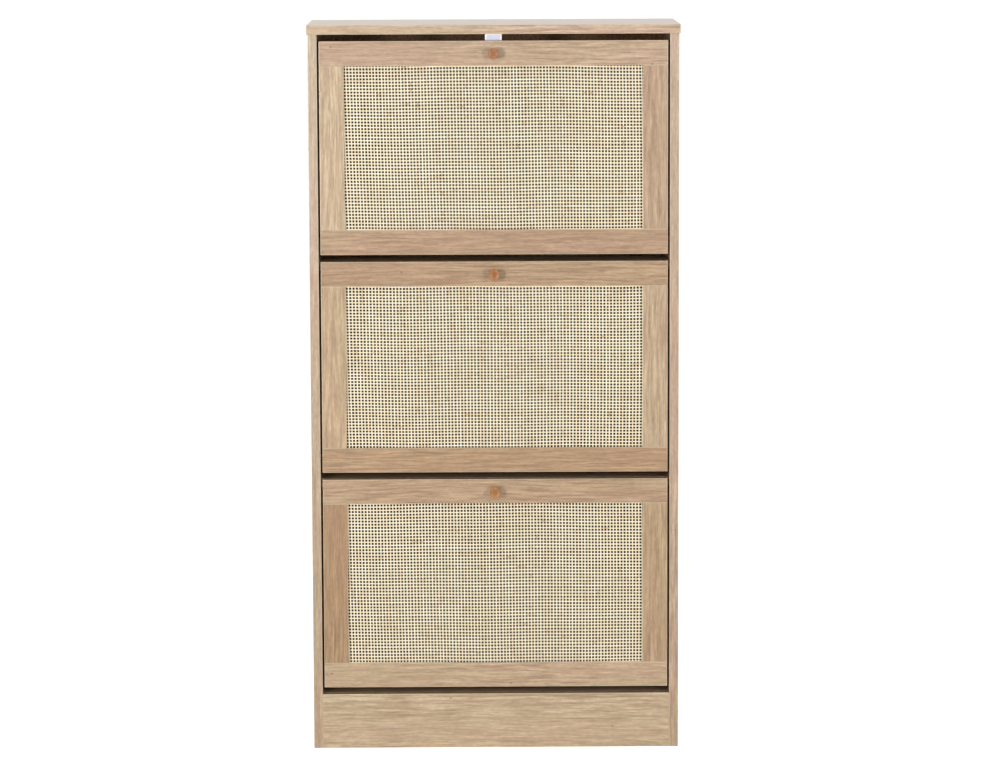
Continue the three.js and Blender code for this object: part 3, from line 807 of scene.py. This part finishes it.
def through(points, steps):
    """A smooth line through points: between each two it follows the cubic whose slopes there are half the
    distance between the points before and after (Catmull and Rom's rule)."""
    p = np.concatenate([points[:1], points, points[-1:]])
    t = np.linspace(0, 1, steps, endpoint=False)[None, :, None]
    a, b, c, d = (p[i : len(p) - 3 + i, None] for i in range(4))
    curve = b + t * (c - a) / 2 + t**2 * (a - 2.5 * b + 2 * c - d / 2) + t**3 * (1.5 * (b - c) + (d - a) / 2)
    return np.concatenate([curve.reshape(-1, points.shape[1]), points[-1:]])


def knob_finish():
    """Lacquered orange-brown wood with fine growth rings; painted shade darkens the dish's middle and the
    neck.
    """
    made, tree, shader = finish_named("knob_wood", 0.42, Specular_IOR_Level=0.35)
    place = put(tree, "Attribute", attribute_name="grain").outputs["Vector"]
    figure = put(tree, "Group", node_tree=bpy.data.node_groups["oak_figure"])
    tree.links.new(place, figure.inputs["Vector"])
    figure.inputs["Ring Gap"].default_value = 0.0016
    figure.inputs["Wander"].default_value = 0.004
    figure.inputs["Ripple"].default_value = 0.0008
    pale = spread(tree, figure.outputs["Streaks"], 0.35, 0.65)
    colour = mixed(tree, pale, rgb(140, 94, 55), rgb(162, 115, 72))
    colour = mixed(tree, sums(tree, "MULTIPLY", figure.outputs["Bands"], 0.7), colour, rgb(118, 72, 40))
    colour = mixed(tree, sums(tree, "MULTIPLY", figure.outputs["Pores"], 0.4), colour, rgb(112, 68, 36))
    # Painted shade: darker where the radius is small, towards the middle of the dish and on the narrow neck.
    dish = put(tree, "Attribute", attribute_name="dish").outputs["Fac"]
    colour = mixed(tree, spread(tree, dish, 0.85, 0.3, 0, 0.7), colour, rgb(118, 72, 38))
    tone = put(tree, "Attribute", attribute_name="tone").outputs["Color"]
    colour = mixed(tree, 1.0, colour, tone, "MULTIPLY")
    tree.links.new(colour, shader.inputs["Base Color"])
    tree.links.new(spread(tree, figure.outputs["Fibre"], 0.3, 0.7, 0.34, 0.46), shader.inputs["Roughness"])
    bump = put(tree, "Bump", {"Height": figure.outputs["Fibre"], "Strength": 0.15, "Distance": 0.0001})
    tree.links.new(bump.outputs[0], shader.inputs["Normal"])
    return made


def knob(level, finish):
    """A line through the shape's points, turned about the knob's axis: x = r cos a, z = r sin a."""
    low, high = (np.array(corner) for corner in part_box(f"{level}_knob"))
    shape = through(KNOB_SHAPE, 4)[1:]
    radius = shape[:, 0] * KNOB_RADIUS
    reach = high[1] - low[1]
    middle = (low + high) / 2
    a = np.linspace(0, 2 * np.pi, KNOB_SIDES, endpoint=False)
    grid = np.empty((len(shape), KNOB_SIDES, 3))
    grid[..., 0] = middle[0] + radius[:, None] * np.cos(a)
    grid[..., 1] = (high[1] - shape[:, 1] * reach)[:, None]
    grid[..., 2] = middle[2] + radius[:, None] * np.sin(a)
    made = piece(f"{level}_knob_turning", grid[::-1], tube_faces(len(shape), KNOB_SIDES), finish, smooth=True)
    offset = {"lower": 0.31, "middle": 0.12, "upper": -0.2}[level]
    tone = {"lower": (1.1, 1.15, 0.95), "middle": (1.02, 0.98, 0.85), "upper": (1.0, 1.0, 1.08)}[level]
    mark(made, "grain", (grid[::-1] - middle + [0.004, 0.003, offset]).reshape(-1, 3))
    # The share of the radius, which the finish reads for its painted shade in the dish and on the neck.
    mark(made, "dish", np.broadcast_to(shape[::-1, :1], grid.shape[:2]))
    mark(made, "tone", np.broadcast_to(tone, grid.shape).reshape(-1, 3))
    settle(made, f"{level}_drawer", "knob_wood", f"{level}_knob")


def zinc_finish():
    """Zinc-plated steel: bright and faintly blue, with soft blotches and fine scratches."""
    made, tree, shader = finish_named("zinc_steel", 0.3, Metallic=1.0)
    place = put(tree, "TexCoord").outputs["Object"]
    blotch = noise(tree, place, (140, 140, 140), 3)
    scratch = noise(tree, place, (300, 300, 5200), 2)
    tree.links.new(mixed(tree, blotch, rgb(176, 179, 186), rgb(204, 205, 208)), shader.inputs["Base Color"])
    tree.links.new(spread(tree, scratch, 0.3, 0.7, 0.24, 0.42), shader.inputs["Roughness"])
    bump = put(tree, "Bump", {"Height": scratch, "Strength": 0.12, "Distance": 0.0001})
    tree.links.new(bump.outputs[0], shader.inputs["Normal"])
    return made


knob_wood = knob_finish()
zinc_steel = zinc_finish()
for level in LEVELS:
    knob(level, knob_wood)
    for part in ("knob_screw", "strike_plate"):
        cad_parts[f"{level}_{part}"].data.materials[0] = zinc_steel

# ---------------------------------------------------------------------------------------------------------
# Bins. Three 6 mm boards slide between the brackets' ribs: a sloping one that the toes of the shoes stand on,
# one between the two rows and one behind the rear row.

TOE_SLOPE = np.radians(10)
TOE_THICKNESS = 0.006


def toe_board(level):
    """A rectangle in side view, turned up by the slope and carried across the cabinet."""
    low, high = (np.array(corner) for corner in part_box(f"{level}_toe_board"))
    run = np.array([np.cos(TOE_SLOPE), np.sin(TOE_SLOPE)])
    rise = np.array([-run[1], run[0]]) * TOE_THICKNESS
    start = np.array([low[1] - rise[0], low[2]])
    end = start + run * (high[1] - start[0]) / run[0]
    corners = [tuple(start), tuple(end), tuple(end + rise), tuple(start + rise)]
    board_of(f"{level}_toe_board", "x", oak_foil, f"{level}_drawer", corners=corners)


for level in LEVELS:
    toe_board(level)
    board_of(f"{level}_row_divider", "x", oak_foil, f"{level}_drawer")
    board_of(f"{level}_rear_board", "x", oak_foil, f"{level}_drawer")

# ---------------------------------------------------------------------------------------------------------
# Studio. A round pale floor under white air, with soft lamps at both sides, above and behind. The camera
# stands six metres in front, a little higher than the cabinet, and looks slightly down.

FLOOR_RADIUS = 14.0
FLOOR_RINGS, FLOOR_SIDES = 24, 96
FLOOR_GLOW = 0.97
CAMERA_DISTANCE = 6.282  # in front of the sides' front edges
CAMERA_SIDEWAYS, CAMERA_HEIGHT = -0.029, 1.416
CAMERA_YAW, CAMERA_PITCH, CAMERA_ROLL = np.radians([0.342, 7.391, 0.216])
CAMERA_LENS = 140.9


def seen(tree):
    """One for what the camera or a reflection sees, and none for the light that lands on a surface."""
    ray = put(tree, "LightPath").outputs
    return sums(tree, "MAXIMUM", ray["Is Camera Ray"], ray["Is Glossy Ray"])


def studio_floor():
    """Rings of points about the origin, x = r cos a and y = r sin a, nearer together towards the middle."""
    radius = FLOOR_RADIUS * np.linspace(0.02, 1, FLOOR_RINGS)[:, None] ** 2
    a = np.linspace(0, 2 * np.pi, FLOOR_SIDES, endpoint=False)
    grid = np.zeros((FLOOR_RINGS, FLOOR_SIDES, 3))
    grid[..., 0] = radius * np.cos(a)
    grid[..., 1] = radius * np.sin(a)
    faces = tube_faces(FLOOR_RINGS, FLOOR_SIDES)[:-1]
    paper, tree, shader = finish_named("studio_paper", 0.9, Base_Color=rgb(206, 206, 206))
    glow = sums(tree, "MULTIPLY", seen(tree), FLOOR_GLOW)
    grey = put(tree, "CombineColor", {0: glow, 1: glow, 2: glow}).outputs[0]
    tree.links.new(grey, shader.inputs["Emission Color"])
    shader.inputs["Emission Strength"].default_value = 1.0
    piece("studio_floor", grid, faces, paper, smooth=True)


def soft_light(name, place, towards, width, height, power):
    """A rectangular lamp that faces a point."""
    lamp = bpy.data.lights.new(name, "AREA")
    lamp.shape = "RECTANGLE"
    lamp.size, lamp.size_y = width, height
    lamp.energy = power
    made = bpy.data.objects.new(name, lamp)
    made.location = place
    made.rotation_euler = (Vector(towards) - Vector(place)).to_track_quat("-Z", "Y").to_euler()
    made.visible_camera = False
    bpy.context.scene.collection.objects.link(made)


studio_floor()
soft_light("light_left", (-2.25, -4.35, 1.15), (0, 0, 0.7), 0.5, 1.0, 146)
soft_light("light_right", (2.25, -4.35, 1.15), (0, 0, 0.7), 0.5, 1.0, 95)
soft_light("light_top", (0, -1.6, 4.2), (0, 0, 0.5), 3.0, 2.0, 48)
soft_light("light_rear_left", (-3.6, 3.0, 1.4), (0, 0, 0.6), 1.6, 1.6, 70)
soft_light("light_rear_right", (3.6, 3.0, 1.4), (0, 0, 0.6), 1.6, 1.6, 70)

AIR_SEEN = 1.04  # how bright the air looks
AIR_MIRRORED = 1.24  # how bright it is in a reflection
AIR_GIVEN = 0.1  # how bright it lights the cabinet
world = bpy.data.worlds.new("studio_air")
world.use_nodes = True
air = world.node_tree
air.nodes["Background"].inputs["Color"].default_value = (1, 1, 1, 1)
path = put(air, "LightPath").outputs
brightness = sums(air, "MULTIPLY_ADD", path["Is Camera Ray"], AIR_SEEN - AIR_GIVEN, AIR_GIVEN)
brightness = sums(air, "MULTIPLY_ADD", path["Is Glossy Ray"], AIR_MIRRORED - AIR_GIVEN, brightness)
air.links.new(brightness, air.nodes["Background"].inputs["Strength"])
bpy.context.scene.world = world
bpy.context.scene.view_settings.view_transform = "Standard"

ahead = Vector(
    (
        np.sin(CAMERA_YAW) * np.cos(CAMERA_PITCH),
        np.cos(CAMERA_YAW) * np.cos(CAMERA_PITCH),
        -np.sin(CAMERA_PITCH),
    )
)
level_right = Vector((np.cos(CAMERA_YAW), -np.sin(CAMERA_YAW), 0.0))
below = ahead.cross(level_right)
right = level_right * np.cos(CAMERA_ROLL) + below * np.sin(CAMERA_ROLL)
turned = Matrix((right, right.cross(ahead), -ahead)).transposed()
camera = bpy.data.objects.new("camera", bpy.data.cameras.new("camera"))
camera.data.sensor_width = 36.0
camera.data.lens = CAMERA_LENS
camera.data.clip_end = 100.0
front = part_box("left_side")[0].y
camera_place = Matrix.Translation((CAMERA_SIDEWAYS, front - CAMERA_DISTANCE, CAMERA_HEIGHT))
camera.matrix_world = camera_place @ turned.to_4x4()
bpy.context.scene.collection.objects.link(camera)
bpy.context.scene.camera = camera
